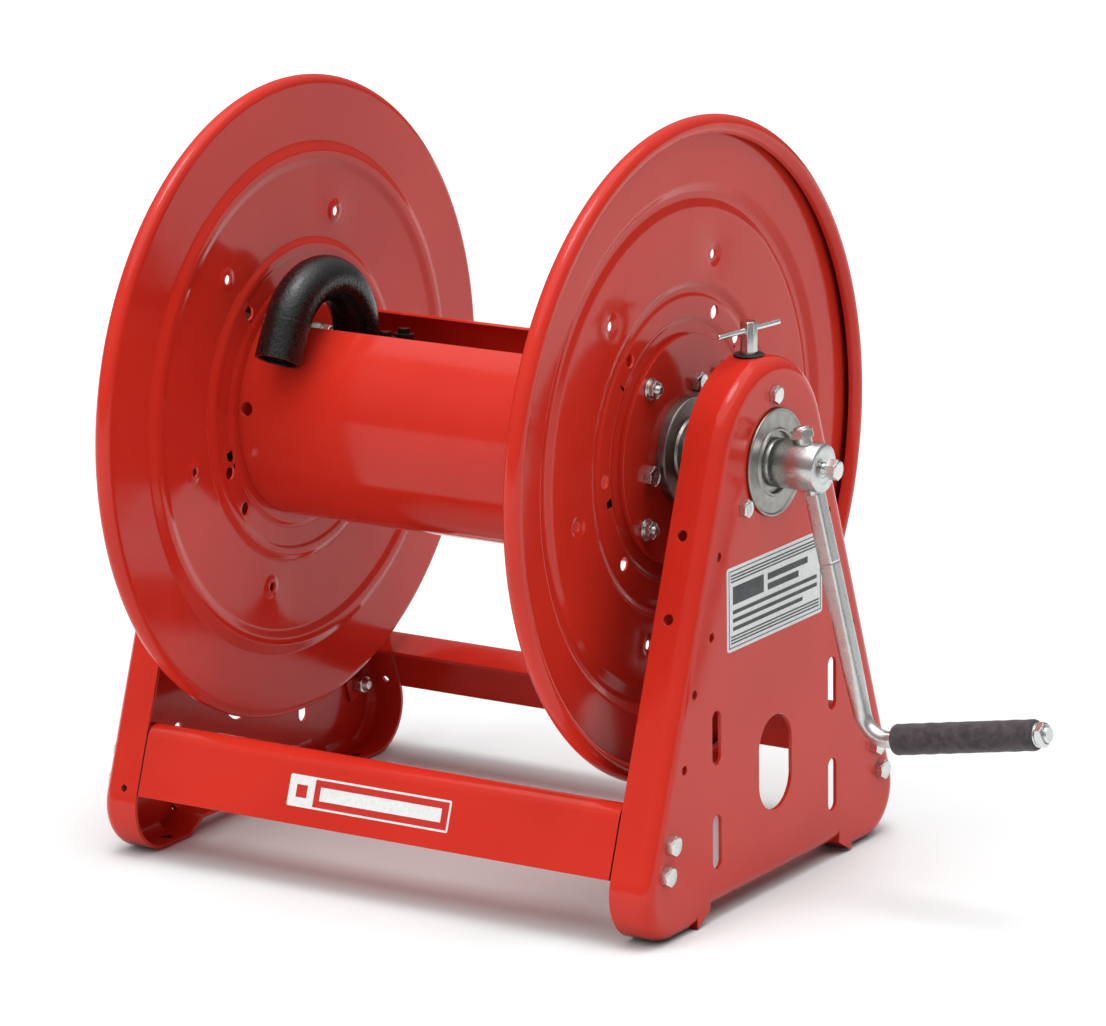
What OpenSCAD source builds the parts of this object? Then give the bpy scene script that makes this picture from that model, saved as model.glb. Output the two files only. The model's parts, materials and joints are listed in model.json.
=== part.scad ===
// Hand-cranked hose reel on a two-sided pressed steel stand.
// X runs along the axle (crank on +X), -Y is the front, Z is up, Z = 0 is the floor.

/* [View] */
// sub-part to build, or all

/* [Stand] */
// height of the axle above the floor, mm
axle_z = 342; // [336:1:350]
// outside width over the two side frames, mm
stand_w = 510; // [500:1:520]
// depth of the turned-in edge of a side frame, mm
pan_d = 34; // [30:1:36]
// sheet thickness of the side frames, mm
pan_t = 3; // [2.5:0.1:3.2]
// outside bend radius of the side frames, mm
pan_r = 12; // [10:1:14]
// radius of the rounded top of a side frame, mm
crown_r = 81; // [79:1:84]
// lean of the sloping edges from vertical, degrees
lean = 19.5; // [19:0.5:20]
// height of a cross member along its sloping face, mm
cross_h = 60; // [52:1:62]
// depth of the top leg of a cross member, mm
cross_d = 36; // [32:1:38]

/* [Mounting slots] */
// distance of each slot column from the middle, mm
slot_y = 88; // [84:1:92]
// width of a mounting slot, mm
slot_w = 13; // [9:0.5:14]
// length of a mounting slot, mm
slot_l = 43; // [30:1:46]

/* [Floor bolts] */
// distance of the floor bolt holes from the middle, front to back, mm
floor_y = 134; // [130:1:138]
// radius of a floor bolt hole, mm
floor_r = 5.5; // [4.5:0.5:6]

/* [Reel] */
// middle of the reel along the axle, mm
reel_x = -6; // [-8:1:-4]
// radius of the end discs, mm
disc_r = 260; // [250:1:265]
// clear width between the discs at the rim, mm
disc_gap = 358; // [350:1:364]
// radius of the rolled bead on the rims, mm
bead_r = 7.5; // [6:0.5:8]
// sheet thickness of the discs, mm
disc_t = 2; // [1.5:0.1:2.5]
// outside radius of the drum shell, mm
drum_r = 92.5; // [90:0.5:96]
// half of the open angle of the drum shell, degrees
drum_open = 41.6; // [38:0.2:42]
// direction of the opening and the gooseneck, degrees from rearward
open_dir = 85; // [85:1:85]

/* [Axle and bearings] */
// axle radius, mm
axle_r = 19; // [18:0.5:19.5]
// water bore radius of the inlet side, mm
bore_r = 12.7; // [10:0.1:13]
// running clearance of the bearings, mm
run_c = 0.05; // [0.03:0.01:0.08]

/* [Gooseneck] */
// outside radius of the gooseneck pipe, mm
goose_r = 18.5; // [17:0.5:19]
// centreline radius of the gooseneck bend, mm
goose_bend = 50; // [48:1:54]
// angle of the gooseneck bend, degrees
goose_a = 158; // [150:1:160]
// position of the gooseneck along the axle, mm
goose_x = -133.4; // [-136:0.1:-130]

/* [Crank] */
// crank arm length, axle to grip line, mm
arm_l = 216; // [200:1:230]
// lean of the arm away from the stand, degrees
arm_lean = 13.75; // [10:0.25:14]
// turn of the rod at the elbow, degrees
elbow_a = 86.25; // [85:0.25:90]
// crank rod radius, mm
rod_r = 6.6; // [6.5:0.1:7.2]
// width of the square length of the crank arm, mm
bar_w = 12.8; // [12:0.1:13]
// bend radius of the crank rod, mm
rod_bend = 22; // [20:1:24]
// grip radius, mm
grip_r = 12.2; // [11:0.1:14]
// grip length, mm
grip_l = 123.4; // [110:0.1:126]

/* [Brake] */
// position of the brake screw along the axle, mm
brake_x = 233; // [232:0.5:234]
// radius of the brake screw post, mm
post_r = 6.6; // [6.5:0.1:8]
// travel of the brake shoe, mm
brake_travel = 1; // [0.8:0.1:1.2]
// length of the cross bar of the brake screw, mm
tbar_l = 75; // [60:1:80]

/* [Hidden] */
$fn = 64;
fit = 0.2;
lap = 2;
pan_x = stand_w / 2;
edge_x = pan_x - pan_d;
bend_x = pan_x - pan_r;
ca = cos(lean);
sa = sin(lean);
foot_r = 40;
foot_z = foot_r - axle_z;
foot_y = (crown_r - foot_r - foot_z * sa) / ca;
side_l = foot_y * sa - foot_z * ca;
arch_z = 11 - axle_z;
arch_y = 99;
toe_y = 118;
cross_s = 275.3;
cb_n = crown_r - 22;
cb_s = [cross_s + 26, cross_s + 49.5];
xr = reel_x + disc_gap / 2;
xl = reel_x - disc_gap / 2;
hub_o = 4.5;
face_r = xr - hub_o;
face_l = xl + hub_o;
hub_t = 4.8;
nut_r = 77;
nut_a = [41, 131, 221, 311];
hb_r = 53.5;
hb_a = [70, 190, 310];
bb_r = 53;
bb_a = [90, 210, 330];
crank_x = 285.7;
end_x = 299;
grip_s = 24.5;
elbow_l = rod_bend * tan(elbow_a / 2);
goose_z = 57;
goose_l = 31;
outlet_r = 15.4;
red = [0.80, 0.13, 0.10];
zinc = [0.78, 0.79, 0.80];
steel = [0.60, 0.60, 0.60];
black = [0.06, 0.06, 0.06];

// ---- placing helpers ----

// lift to the axle height
module ax()
  translate([0, 0, axle_z])
    children();

// a cylinder along X from x0 to x1 at radius r from the axle, direction a
module xrod(x0, x1, rad, r = 0, a = 0, f = 32)
  translate([x0, r * cos(a), r * sin(a)])
    rotate([0, 90, 0])
      cylinder(h = x1 - x0, r = rad, $fn = f);

// a ring along X
module xring(x0, x1, ro, ri)
  difference() {
    xrod(x0, x1, ro, f = 72);
    xrod(x0 - 1, x1 + 1, ri, f = 72);
  }

// a six-sided prism along X, af across the flats
module xhex(x0, x1, af, r, a)
  translate([x0, r * cos(a), r * sin(a)])
    rotate([0, 90, 0])
      cylinder(h = x1 - x0, d = af / cos(30), $fn = 6);

// repeat on both sides of the X = 0 plane
module both() {
  children();
  mirror([1, 0, 0])
    children();
}

// repeat at front and rear
module frontrear() {
  children();
  mirror([0, 1, 0])
    children();
}

// extrude a YZ outline along X from x0 to x1
module yz(x0, x1)
  translate([x0, 0, 0])
    rotate([90, 0, 90])
      linear_extrude(height = x1 - x0)
        children();

// ---- side frames ----

// section of the turned edge: first axis is distance R from the bend centre line, second is X
module edge2d(R, r0) {
  translate([R - pan_t, edge_x])
    square([pan_t, bend_x - edge_x]);
  translate([R - pan_r, bend_x])
    intersection() {
      difference() {
        circle(r = pan_r, $fn = 48);
        circle(r = pan_r - pan_t, $fn = 48);
      }
      square([pan_r, pan_r]);
    }
  translate([r0, pan_x - pan_t])
    square([R - pan_r - r0, pan_t]);
}

// a straight run of turned edge, facing +Y and running down
module edge_run(R, l)
  translate([0, 0, -l])
    linear_extrude(height = l)
      mirror([1, -1, 0])
        edge2d(R, R - pan_r - 2 * lap);

// a curved run of turned edge from direction a0 over a1 degrees
module edge_turn(R, a0, a1, f)
  rotate([0, 90, 0])
    rotate([0, 0, a0 + 90])
      rotate_extrude(angle = a1, $fn = f)
        edge2d(R, R - pan_r - 2 * lap);

// points of an arc of radius r about (y, z) from direction a0 to a1 in n steps
function arc(y, z, r, a0, a1, n) =
  [for (k = [0:n]) [y + r * cos(a0 + (a1 - a0) * k / n), z + r * sin(a0 + (a1 - a0) * k / n)]];

// outline of one half of the flat plate, which ends inside the turned edge
half_plate = concat(
  [[0, crown_r - pan_r - lap]],
  arc(0, 0, crown_r - pan_r - lap, 78, lean + 5, 3),
  arc(foot_y, foot_z, foot_r - pan_r - lap, lean - 5, -84, 5),
  [[toe_y, foot_z - foot_r + pan_r + lap], [toe_y, -axle_z], [arch_y, arch_z],
    [arch_y, arch_z + pan_r + lap], [0, arch_z + pan_r + lap]]);

// flat area of the plate
module plate2d() {
  polygon(concat(half_plate, [for (k = [len(half_plate) - 2:-1:1]) [-half_plate[k][0], half_plate[k][1]]]));
}

// upright slot of width w and length l through the plate, ends a hair wider than the sides
module slot(y, z, w, l) {
  yz(pan_x - 9, pan_x + 3)
    translate([y, z])
      square([w, l - w], center = true);
  for (e = [-1, 1])
    translate([0, y, z + e * (l - w) / 2])
      xrod(pan_x - 9, pan_x + 3, w / 2 + 0.05, f = 48);
}

// pressed side frame without its own extra holes
module side_pan()
  difference() {
    union() {
      yz(pan_x - pan_t, pan_x)
        plate2d();
      frontrear()
        edge_turn(crown_r, lean, 90 - lean, 96);
      frontrear()
        rotate([lean, 0, 0])
          edge_run(crown_r, side_l);
      frontrear()
        translate([0, foot_y, foot_z])
          edge_turn(foot_r, -90, 90 + lean, 64);
      frontrear()
        translate([0, foot_y, foot_z])
          rotate([-90, 0, 0])
            edge_run(foot_r, foot_y - toe_y);
      translate([0, arch_y, 0])
        rotate([-90, 0, 0])
          edge_run(-arch_z, 2 * arch_y);
      frontrear()
        yz(edge_x, pan_x)
          polygon([[toe_y, -axle_z], [arch_y, arch_z],
            [arch_y, arch_z + pan_t], [toe_y, -axle_z + pan_t]]);
    }
    xrod(pan_x - 9, pan_x + 3, 34, f = 72);
    for (a = bb_a)
      xrod(pan_x - 9, pan_x + 3, 4.2, bb_r, a);
    for (z = [-197.2, -279.9])
      for (s = [-1, 1])
        slot(s * slot_y, z, slot_w, slot_l);
    for (p = [[82.5, -56.8], [94.2, -117], [119.5, -155.7], [135.2, -211.1]])
      for (s = [-1, 1])
        translate([0, s * p[0], p[1]])
          xrod(pan_x - 9, pan_x + 3, 3.8);
    slot(0, -238.7, 49.8, 76.2);
    frontrear()
      rotate([lean, 0, 0])
        for (s = cb_s)
          translate([0, cb_n, -s])
            xrod(pan_x - 9, pan_x + 3, 5.2);
    frontrear()
      translate([pan_x - 22, floor_y, -axle_z - 1])
        cylinder(h = pan_t + 2, r = floor_r, $fn = 32);
    frontrear()
      rotate([lean, 0, 0])
        for (s = [70, 134])
          translate([pan_x - 22, crown_r - 9, -s])
            rotate([-90, 0, 0])
              cylinder(h = 14, r = 4.4, $fn = 24);
  }

module side_frame_right()
  color(red)
    ax()
      difference() {
        side_pan();
        translate([brake_x, 0, crown_r - 9])
          cylinder(h = 14, r = 6.4, $fn = 32);
      }

module side_frame_left()
  color(red)
    ax()
      mirror([1, 0, 0])
        difference() {
          side_pan();
          frontrear()
            rotate([lean, 0, 0])
              translate([pan_x - 21, crown_r - 9, -331])
                rotate([-90, 0, 0])
                  cylinder(h = 14, r = 3, $fn = 24);
        }

// ---- cross members ----

// one cross member, drawn at the rear in the leaning frame
module cross_member()
  rotate([lean, 0, 0])
    difference() {
      union() {
        intersection() {
          translate([-edge_x + 1.5, crown_r - cross_d, -cross_s - cross_h])
            cube([2 * edge_x - 3, cross_d, cross_h]);
          rotate([0, 90, 0])
            translate([cross_s + pan_r, crown_r - pan_r, -edge_x + 1.5])
              linear_extrude(height = 2 * edge_x - 3)
                union() {
                  difference() {
                    circle(r = pan_r, $fn = 48);
                    circle(r = pan_r - 3, $fn = 48);
                    translate([0, -pan_r - 1])
                      square([pan_r + 1, 2 * pan_r + 2]);
                    translate([-pan_r - 1, -pan_r - 1])
                      square([2 * pan_r + 2, pan_r + 1]);
                  }
                  translate([0, pan_r - 3])
                    square([cross_h - pan_r, 3]);
                  translate([-pan_r, pan_r - cross_d])
                    square([3, cross_d - pan_r]);
                }
        }
        both()
          translate([edge_x - 2, crown_r - cross_d, -cross_s - 3])
            cube([pan_d - pan_t + 2, cross_d - 13, 3]);
        both()
          translate([pan_x - pan_t - 3, crown_r - cross_d, -cross_s - cross_h])
            cube([3, cross_d - 13, cross_h]);
      }
      for (s = cb_s)
        translate([0, cb_n, -s])
          xrod(-pan_x, pan_x, 5.2);
    }

module cross_member_rear()
  color(red)
    ax()
      cross_member();

module cross_member_front()
  color(red)
    ax()
      mirror([0, 1, 0])
        cross_member();

module frame_bolts()
  color(zinc)
    ax()
      both()
        frontrear()
          rotate([lean, 0, 0])
            for (s = cb_s)
              translate([0, cb_n, -s]) {
                xhex(pan_x, pan_x + 6.2, 14.3, 0, 0);
                xrod(pan_x - 18, pan_x + 0.5, 4.75);
              }

module frame_nuts()
  color(zinc)
    ax()
      both()
        frontrear()
          rotate([lean, 0, 0])
            for (s = cb_s)
              translate([0, cb_n, -s])
                difference() {
                  xhex(pan_x - 14.2, pan_x - 6, 14.3, 0, 0);
                  xrod(pan_x - 19, pan_x, 4.75);
                }

// ---- bearings on the stand ----

module housing()
  difference() {
    union() {
      xrod(pan_x - 9, pan_x - 3, 63, f = 72);
      xrod(pan_x - 12, pan_x - 8, 40, f = 72);
      xrod(pan_x - 4, pan_x, 34, f = 72);
    }
    xrod(pan_x - 13, pan_x + 1, 31, f = 72);
    for (a = bb_a)
      xrod(pan_x - 13, pan_x + 1, 4.2, bb_r, a);
  }

module bearing_housing_right()
  color(steel)
    ax()
      housing();

module bearing_housing_left()
  color(steel)
    ax()
      mirror([1, 0, 0])
        housing();

module cover()
  rotate([0, 90, 0])
    rotate_extrude($fn = 72)
      polygon([[24, pan_x], [40.4, pan_x], [40.4, pan_x + 0.6], [42, pan_x + 0.6],
        [42, pan_x + 2.2], [41.3, pan_x + 2.9], [40.2, pan_x + 2.9],
        [39.6, pan_x + 1.4], [26.4, pan_x + 1.4], [25.6, pan_x + 3.2], [24, pan_x + 3.2]]);

module bearing_cover_right()
  color(steel)
    ax()
      cover();

module bearing_cover_left()
  color(steel)
    ax()
      mirror([1, 0, 0])
        cover();

module bearing_outer_right()
  color(steel)
    ax()
      xring(pan_x - 12, pan_x, 31, 26 + run_c);

module bearing_outer_left()
  color(steel)
    ax()
      xring(-pan_x, 12 - pan_x, 31, 26 + run_c);

module bearing_inner_right()
  color(steel)
    ax()
      xring(pan_x - 13, pan_x - 0.4, 26, axle_r);

module bearing_inner_left()
  color(steel)
    ax()
      xring(0.4 - pan_x, 13 - pan_x, 26, axle_r);

module bearing_bolts()
  color(zinc)
    ax()
      both()
        for (a = bb_a) {
          xhex(pan_x, pan_x + 5.4, 12.7, bb_r, a);
          xrod(pan_x - 15.4, pan_x + 0.5, 4, bb_r, a);
        }

module bearing_nuts()
  color(zinc)
    ax()
      both()
        for (a = bb_a)
          difference() {
            xhex(pan_x - 15.4, pan_x - 9, 12.7, bb_r, a);
            xrod(pan_x - 19, pan_x, 4, bb_r, a);
          }

// ---- labels ----

module nameplate()
  color([0.93, 0.93, 0.92])
    ax()
      translate([pan_x, -72, -135])
        cube([0.6, 144, 66]);

module front_label()
  color([0.93, 0.93, 0.92])
    ax()
      mirror([0, 1, 0])
        rotate([lean, 0, 0])
          translate([-79, crown_r, -cross_s - 46])
            cube([150, 0.5, 25]);

// ---- end discs and drum ----

// line of the disc's drum side: radius and distance outward from the rim face, with two ribs
disc_line = [
  [disc_r - bead_r + 0.2, 0], [207, 0], [200, -3.2], [194, -3.2], [187.5, -1.8],
  [130.5, -2], [126, -4.2], [121, -4.2], [117, -3.4], [102.5, -3.4],
  [99.5, -hub_o], [24, -hub_o]];

// web of a disc
module disc_web2d()
  polygon(concat(disc_line,
    [for (k = [len(disc_line) - 1:-1:0]) disc_line[k] + [0, disc_t]]));

// rolled bead on the rim, a curl open towards the web
module bead2d()
  translate([disc_r - bead_r, bead_r])
    difference() {
      circle(r = bead_r, $fn = 32);
      circle(r = bead_r - disc_t, $fn = 32);
      translate([-bead_r - 1, -bead_r - 1])
        square([bead_r + 1, bead_r + 1]);
    }

// end disc facing +X at the origin with the holes in the given directions
module disc(inner)
  difference() {
    rotate([0, 90, 0]) {
      rotate_extrude($fn = 96)
        disc_web2d();
      rotate_extrude($fn = 96)
        bead2d();
    }
    for (k = [0:5])
      xrod(-9, 5, 4, 153, 70.8 + 60 * k, f = 24);
    for (a = inner)
      xrod(-9, 5, 5.5, 111, a, f = 24);
    for (a = nut_a)
      xrod(-9, 5, 4.2, nut_r, a, f = 24);
    for (a = hb_a)
      xrod(-9, 5, 4.95, hb_r, a, f = 24);
  }

module disc_right()
  color(red)
    ax()
      translate([xr, 0, 0])
        disc([40.8, 62.3, 130.8, 181.1, 220.8, 310.8]);

module disc_left()
  color(red)
    ax()
      translate([xl, 0, 0])
        mirror([1, 0, 0])
          disc([40.8, 130.8, 200.7, 220.8, 310.8]);

// directions of the drum opening edges
d0 = open_dir + drum_open;
dw = 360 - 2 * drum_open;

module drum_shell()
  color(red)
    ax()
      difference() {
        rotate([0, 90, 0])
          rotate([0, 0, d0 + 90])
            rotate_extrude(angle = dw, $fn = 96)
              polygon([[68, face_l], [drum_r, face_l], [drum_r, face_r], [68, face_r],
                [68, face_r - 2.5], [drum_r - 2.5, face_r - 2.5],
                [drum_r - 2.5, face_l + 2.5], [68, face_l + 2.5]]);
        for (a = nut_a)
          xrod(face_l - 1, face_r + 1, 4.2, nut_r, a, f = 24);
        for (x = [face_l + 7.5, face_r - 7.5])
          rotate([173, 0, 0])
            translate([x, drum_r - 8, 0])
              rotate([-90, 0, 0])
                cylinder(h = 12, r = 5.6, $fn = 32);
      }

module hub_plate()
  difference() {
    xrod(0, hub_t, 90, f = 96);
    xrod(-1, hub_t + 1, 24, f = 72);
    for (a = nut_a)
      xrod(-1, hub_t + 1, 4.2, nut_r, a, f = 24);
    for (a = hb_a)
      xrod(-1, hub_t + 1, 4.95, hb_r, a, f = 24);
  }

module hub_plate_right()
  color(red)
    ax()
      translate([face_r + disc_t, 0, 0])
        hub_plate();

module hub_plate_left()
  color(red)
    ax()
      translate([face_l - disc_t, 0, 0])
        mirror([1, 0, 0])
          hub_plate();

module hub_cap()
  rotate([0, 90, 0])
    rotate_extrude($fn = 72)
      polygon([[40.4, 0], [42, 0], [42, 6.6], [41.3, 7.4], [40.2, 7.4], [39.4, 6.2],
        [26.4, 6.2], [25.6, 8.6], [axle_r, 8.6], [axle_r, 7.0], [24.2, 7.0],
        [24.8, 4.7], [40.4, 4.7]]);

module hub_cap_right()
  color(steel)
    ax()
      translate([face_r + disc_t + hub_t, 0, 0])
        hub_cap();

module hub_cap_left()
  color(steel)
    ax()
      translate([face_l - disc_t - hub_t, 0, 0])
        mirror([1, 0, 0])
          hub_cap();

// inner collar: a flange against the disc with a sleeve on the axle
module hub_collar(l)
  difference() {
    union() {
      xrod(-6, 0, 62, f = 72);
      xrod(-l, -5, 28, f = 72);
    }
    xrod(-l - 1, 1, axle_r, f = 72);
    for (a = hb_a)
      xrod(-7, 1, 4.95, hb_r, a, f = 24);
  }

module hub_collar_right()
  color(steel)
    ax()
      translate([face_r, 0, 0])
        hub_collar(34);

module hub_collar_left()
  color(steel)
    ax()
      translate([face_l, 0, 0])
        mirror([1, 0, 0])
          hub_collar(19);

// the hub fasteners of one side, drawn outward from the inner disc face
module hub_bolt_set()
  for (a = hb_a) {
    xhex(disc_t + hub_t, disc_t + hub_t + 6.3, 14.3, hb_r, a);
    xrod(-18, disc_t + hub_t + 0.5, 4.75, hb_r, a);
  }

module hub_bolts()
  color(zinc)
    ax() {
      translate([face_r, 0, 0])
        hub_bolt_set();
      translate([face_l, 0, 0])
        mirror([1, 0, 0])
          hub_bolt_set();
    }

module hub_nut_set()
  for (a = hb_a)
    difference() {
      xhex(-14.2, -6, 14.3, hb_r, a);
      xrod(-19, 1, 4.75, hb_r, a);
    }

module hub_nuts()
  color(zinc)
    ax() {
      translate([face_r, 0, 0])
        hub_nut_set();
      translate([face_l, 0, 0])
        mirror([1, 0, 0])
          hub_nut_set();
    }

module shell_bolt_set()
  for (a = nut_a) {
    xrod(-7, -2.5, 8.5, nut_r, a);
    xrod(-4, disc_t + hub_t + 10.5, 4, nut_r, a);
  }

module shell_bolts()
  color(zinc)
    ax() {
      translate([face_r, 0, 0])
        shell_bolt_set();
      translate([face_l, 0, 0])
        mirror([1, 0, 0])
          shell_bolt_set();
    }

module shell_nut_set()
  for (a = nut_a)
    difference() {
      union() {
        xhex(disc_t + hub_t, disc_t + hub_t + 7, 12.7, nut_r, a);
        xrod(disc_t + hub_t, disc_t + hub_t + 1.6, 8.6, nut_r, a);
      }
      xrod(-1, 30, 4, nut_r, a);
    }

module shell_nuts()
  color(zinc)
    ax() {
      translate([face_r, 0, 0])
        shell_nut_set();
      translate([face_l, 0, 0])
        mirror([1, 0, 0])
          shell_nut_set();
    }

// ---- axle, riser and gooseneck ----

module crank_shaft()
  color(steel)
    ax()
      difference() {
        xrod(face_r - 34, end_x, axle_r, f = 72);
        translate([crank_x, 0, 0])
          rotate([0, -arm_lean, 0])
            cylinder(h = 60, r = rod_r, center = true, $fn = 48);
        xrod(crank_x + 4, end_x + 1, 4.75);
      }

module inlet_shaft()
  color(steel)
    ax()
      difference() {
        xrod(-306, goose_x + 27, axle_r, f = 72);
        xrod(-307, goose_x + 14, bore_r, f = 48);
        translate([goose_x, 0, 0])
          rotate([open_dir - 90, 0, 0])
            cylinder(h = 30, r = bore_r, $fn = 48);
      }

// flange of the riser joint: round at the pipe and square at the studs
module flange_plate(h) {
  cylinder(h = h, r = 25.5, $fn = 64);
  translate([0, -24, 0])
    cube([49, 48, h]);
}

// the two studs of the riser joint, on the side away from the disc
module stud_places()
  for (s = [-1, 1])
    translate([37, s * 13, 0])
      children();

// cast block that turns the water from the axle into the riser
module riser_block()
  color(black)
    ax()
      translate([goose_x, 0, 0])
        rotate([open_dir - 90, 0, 0])
          difference() {
            union() {
              xrod(-26, 26, 27, f = 64);
              cylinder(h = 38, r = 25, $fn = 64);
              translate([0, 0, 34])
                flange_plate(9);
            }
            xrod(-27, 27, axle_r, f = 72);
            cylinder(h = 50, r = bore_r, $fn = 48);
            stud_places()
              translate([0, 0, 30])
                cylinder(h = 20, r = 5, $fn = 32);
          }

module riser_gasket()
  color([0.12, 0.12, 0.12])
    ax()
      translate([goose_x, 0, 0])
        rotate([open_dir - 90, 0, 0])
          translate([0, 0, 43])
            difference() {
              cylinder(h = 1.5, r = 24, $fn = 64);
              translate([0, 0, -1])
                cylinder(h = 4, r = bore_r, $fn = 48);
            }

// straight end of the gooseneck along Z from z0 to z1, a little proud of the bend
module goose_pipe(z0, z1, ri)
  translate([0, 0, z0])
    difference() {
      cylinder(h = z1 - z0, r = goose_r + fit, $fn = 48);
      translate([0, 0, -1])
        cylinder(h = z1 - z0 + 2, r = ri, $fn = 48);
    }

module goose_flange()
  difference() {
    translate([0, 0, 44.5])
      flange_plate(8);
    translate([0, 0, 40])
      cylinder(h = 20, r = bore_r, $fn = 48);
    stud_places()
      translate([0, 0, 40])
        cylinder(h = 20, r = 5, $fn = 32);
  }

module gooseneck()
  color(black)
    ax()
      translate([goose_x, 0, 0])
        rotate([open_dir - 90, 0, 0]) {
          goose_flange();
          goose_pipe(52.5, goose_z + 1, bore_r + fit);
          translate([0, -goose_bend, goose_z]) {
            rotate([0, 90, 0])
              rotate([0, 0, 90])
                rotate_extrude(angle = goose_a, $fn = 96)
                  translate([goose_bend, 0])
                    difference() {
                      circle(r = goose_r, $fn = 48);
                      circle(r = bore_r, $fn = 48);
                    }
            rotate([goose_a, 0, 0])
              translate([0, goose_bend, 0])
                goose_pipe(-1, goose_l, outlet_r);
          }
        }

module riser_studs()
  color(black)
    ax()
      translate([goose_x, 0, 0])
        rotate([open_dir - 90, 0, 0])
          stud_places() {
            translate([0, 0, 29])
              cylinder(h = 36, r = 4.75, $fn = 32);
            translate([0, 0, 26.5])
              cylinder(h = 7.5, d = 15.9 / cos(30), $fn = 6);
          }

module riser_nuts()
  color(black)
    ax()
      translate([goose_x, 0, 0])
        rotate([open_dir - 90, 0, 0])
          stud_places()
            translate([0, 0, 52.5])
              difference() {
                cylinder(h = 8.2, d = 15.9 / cos(30), $fn = 6);
                translate([0, 0, -1])
                  cylinder(h = 12, r = 4.75, $fn = 32);
              }

// ---- crank ----

// frame of the arm: Z along the arm towards the axle, origin on the axle
module crank_frame()
  ax()
    translate([crank_x, 0, 0])
      rotate([0, -arm_lean, 0])
        children();

// frame of the grip: X along the grip, origin where the arm line meets the grip line
module grip_frame()
  crank_frame()
    translate([0, 0, -arm_l])
      rotate([0, 90 - elbow_a, 0])
        children();

module crank_arm()
  color(zinc) {
    crank_frame() {
      translate([0, 0, -arm_l + elbow_l])
        cylinder(h = 30, r = rod_r, $fn = 48);
      translate([-bar_w / 2, -bar_w / 2, -arm_l + elbow_l + 28])
        cube([bar_w, bar_w, arm_l - elbow_l - 49.5]);
      translate([0, 0, -21.5])
        cylinder(h = 52.5, r = rod_r, $fn = 48);
      translate([rod_bend, 0, -arm_l + elbow_l])
        rotate([90, 0, 0])
          rotate([0, 0, 180])
            rotate_extrude(angle = elbow_a, $fn = 96)
              translate([rod_bend, 0])
                circle(r = rod_r, $fn = 48);
    }
    grip_frame()
      translate([elbow_l, 0, 0])
        rotate([0, 90, 0])
          cylinder(h = grip_s - elbow_l + grip_l + 11, r = rod_r - 0.1, $fn = 48);
  }

module crank_nut()
  color(zinc)
    crank_frame()
      translate([0, 0, 22.2])
        difference() {
          cylinder(h = 7, d = 17 / cos(30), $fn = 6);
          translate([0, 0, -1])
            cylinder(h = 12, r = rod_r, $fn = 48);
        }

module crank_lock_screw()
  color(zinc)
    ax() {
      xrod(crank_x + rod_r + 1.7, end_x + 5, 4.75);
      xhex(end_x + 4.5, end_x + 13, 14.3, 0, 0);
    }

module grip_sleeve()
  color([0.2, 0.18, 0.19])
    grip_frame()
      translate([grip_s, 0, 0])
        rotate([0, 90, 0])
          rotate_extrude($fn = 64)
            polygon([[rod_r, 0], [grip_r - 2, 0], [grip_r, 2.4], [grip_r, grip_l - 1],
              [grip_r - 1, grip_l], [rod_r, grip_l]]);

module grip_washer()
  color(zinc)
    grip_frame()
      translate([grip_s + grip_l + 0.4, 0, 0])
        rotate([0, 90, 0])
          difference() {
            cylinder(h = 1.6, r = 9.6, $fn = 48);
            translate([0, 0, -1])
              cylinder(h = 4, r = rod_r - 0.1, $fn = 48);
          }

module grip_nut()
  color(zinc)
    grip_frame()
      translate([grip_s + grip_l + 2, 0, 0])
        rotate([0, 90, 0])
          difference() {
            cylinder(h = 6.5, d = 17.4 / cos(30), $fn = 6);
            translate([0, 0, -1])
              cylinder(h = 12, r = rod_r - 0.1, $fn = 48);
          }

// ---- brake ----

module brake_nut()
  color(steel)
    ax()
      translate([brake_x, 0, 65])
        difference() {
          cylinder(h = crown_r - pan_t - 0.85 - 65, d = 19 / cos(30), $fn = 6);
          translate([0, 0, -1])
            cylinder(h = 20, r = 6.06, $fn = 32);
        }

module brake_washer()
  color(black)
    ax()
      translate([brake_x, 0, crown_r + 0.02])
        difference() {
          cylinder(h = 1.4, r = 12, $fn = 48);
          translate([0, 0, -1])
            cylinder(h = 4, r = 6.4, $fn = 32);
        }

// axis of the cross bar, at the middle of the bar
module tbar_axis()
  translate([0, 0, 101])
    rotate([0, 90, 82])
      children();

module brake_screw()
  color(steel)
    ax()
      translate([brake_x, 0, 0])
        difference() {
          union() {
            translate([0, 0, crown_r + 1.9 + brake_travel])
              cylinder(h = 23.8, r = post_r, $fn = 48);
            translate([0, 0, 38 + brake_travel])
              cylinder(h = crown_r + 3.4 - 38, r = 6, $fn = 32);
            translate([0, 0, 32.3 + brake_travel])
              cylinder(h = 6, r = 4, $fn = 32);
          }
          tbar_axis()
            cylinder(h = 30, r = 2.2, center = true, $fn = 24);
        }

module brake_tbar()
  color(zinc)
    ax()
      translate([brake_x, 0, 0])
        tbar_axis()
          cylinder(h = tbar_l, r = 2.2, center = true, $fn = 24);

module brake_shoe()
  color(steel)
    ax()
      translate([0, 0, brake_travel])
        difference() {
          translate([brake_x - 7.5, -12, 20])
            cube([15, 24, 17.6]);
          xrod(brake_x - 10, brake_x + 10, 25, f = 64);
          translate([brake_x, 0, 32.2])
            cylinder(h = 10, r = 4.06, $fn = 32);
        }

module brake_pad()
  color([0.45, 0.38, 0.3])
    ax()
      translate([0, 0, brake_travel])
        intersection() {
          translate([brake_x - 7.5, -12, 12])
            cube([15, 24, 20]);
          xring(brake_x - 9, brake_x + 9, 25, axle_r + 0.3);
        }

// ---- water inlet ----

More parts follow.
